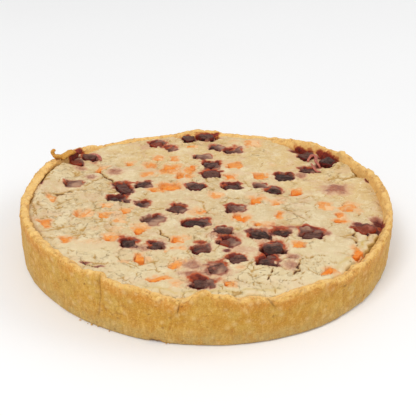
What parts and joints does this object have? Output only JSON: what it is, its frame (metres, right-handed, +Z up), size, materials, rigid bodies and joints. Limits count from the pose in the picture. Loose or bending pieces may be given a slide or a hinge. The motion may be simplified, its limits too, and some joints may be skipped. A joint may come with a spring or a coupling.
{
  "type": "quiche",
  "caption": "Large round whole quiche with a tall golden shortcrust case, an uneven torn rim, and a cracked cream filling set with diced beetroot and carrot.",
  "frame": {"origin": "centre of the round base, on the surface that the quiche rests on", "axes": "+Z up, -Y towards the front, +X to the right as seen from the front"},
  "size_m": [0.266, 0.2701, 0.0461],
  "materials": {
    "crust": "baked shortcrust pastry, dry and slightly rough, golden with paler patches",
    "filling": "set cream and egg custard, satin, with a wrinkled and cracked skin",
    "beetroot": "roasted beetroot, dark and moist",
    "carrot": "cooked carrot, moist"
  },
  "bodies": {
    "root": {"crust": "crust", "filling": "filling", "beetroot_01": "beetroot", "beetroot_02": "beetroot", "beetroot_03": "beetroot", "beetroot_04": "beetroot", "beetroot_05": "beetroot", "beetroot_06": "beetroot", "beetroot_07": "beetroot", "beetroot_08": "beetroot", "beetroot_09": "beetroot", "beetroot_10": "beetroot", "beetroot_11": "beetroot", "beetroot_12": "beetroot", "beetroot_13": "beetroot", "beetroot_14": "beetroot", "beetroot_15": "beetroot", "beetroot_16": "beetroot", "beetroot_17": "beetroot", "beetroot_18": "beetroot", "beetroot_19": "beetroot", "beetroot_20": "beetroot", "beetroot_21": "beetroot", "beetroot_22": "beetroot", "beetroot_23": "beetroot", "beetroot_24": "beetroot", "beetroot_25": "beetroot", "beetroot_26": "beetroot", "beetroot_27": "beetroot", "beetroot_28": "beetroot", "beetroot_29": "beetroot", "beetroot_30": "beetroot", "beetroot_31": "beetroot", "beetroot_32": "beetroot", "beetroot_33": "beetroot", "beetroot_34": "beetroot", "beetroot_35": "beetroot", "beetroot_36": "beetroot", "beetroot_37": "beetroot", "beetroot_38": "beetroot", "beetroot_39": "beetroot", "beetroot_40": "beetroot", "beetroot_41": "beetroot", "beetroot_42": "beetroot", "carrot_01": "carrot", "carrot_02": "carrot", "carrot_03": "carrot", "carrot_04": "carrot", "carrot_05": "carrot", "carrot_06": "carrot", "carrot_07": "carrot", "carrot_08": "carrot", "carrot_09": "carrot", "carrot_10": "carrot", "carrot_11": "carrot", "carrot_12": "carrot", "carrot_13": "carrot", "carrot_14": "carrot", "carrot_15": "carrot", "carrot_16": "carrot"}
  },
  "joints": []
}
